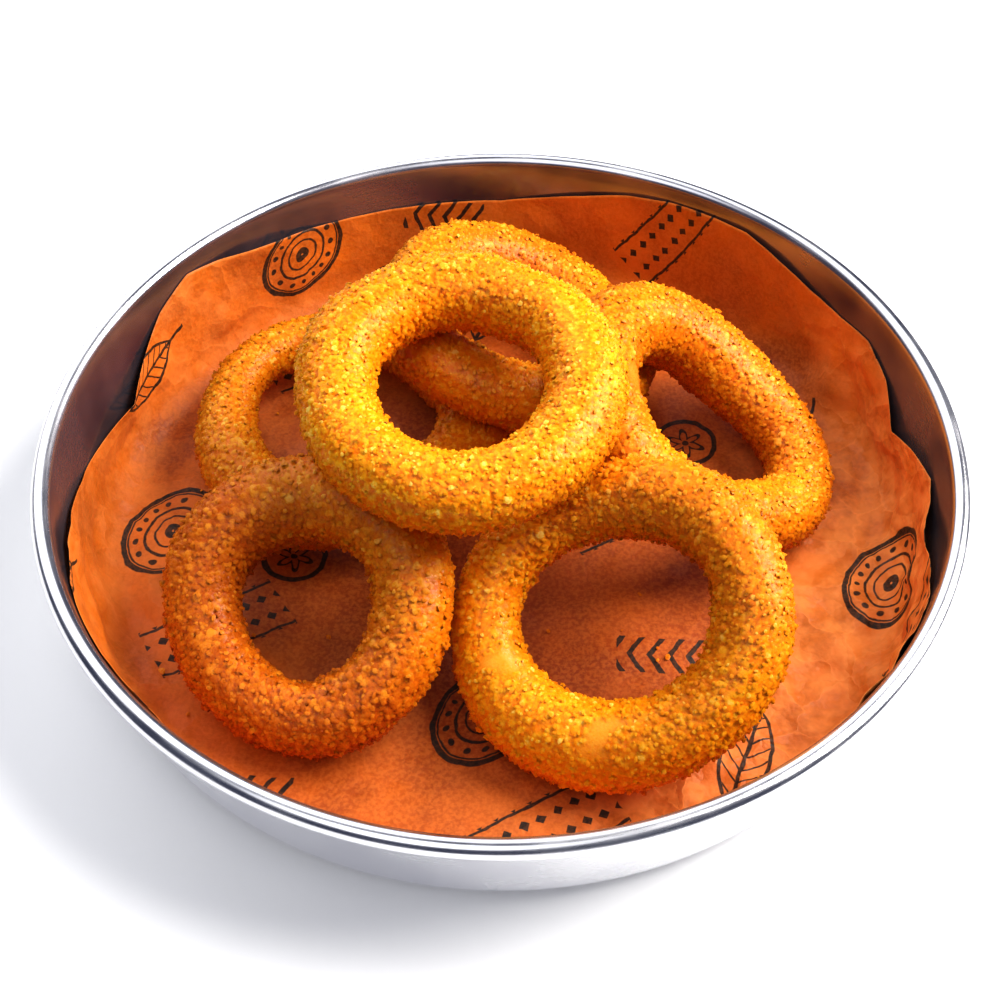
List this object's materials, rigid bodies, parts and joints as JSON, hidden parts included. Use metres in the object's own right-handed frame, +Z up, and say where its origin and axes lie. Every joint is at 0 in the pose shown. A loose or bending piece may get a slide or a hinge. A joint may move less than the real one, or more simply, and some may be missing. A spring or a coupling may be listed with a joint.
{
  "type": "onion rings side",
  "caption": "Heap of crumbed onion rings leaning on each other on an orange paper liner in a round, shallow steel dish with a rolled rim.",
  "frame": {"origin": "under the middle of the dish, on its flat base", "axes": "+Z up; +Y to the back of the dish, away from the viewer; +X to the viewer's right"},
  "size_m": [0.2028, 0.2028, 0.0593],
  "materials": {
    "polished_steel": "polished stainless steel, soft mirror, lightly brushed",
    "orange_paper": null,
    "golden_crumbs": "golden fried breadcrumb coating, coarse, slightly translucent"
  },
  "bodies": {
    "root": {"dish": "polished_steel", "paper_liner": "orange_paper", "ring_left": "golden_crumbs", "ring_back": "golden_crumbs", "ring_right": "golden_crumbs", "ring_front_right": "golden_crumbs", "ring_front_left": "golden_crumbs", "ring_top": "golden_crumbs"}
  },
  "joints": []
}
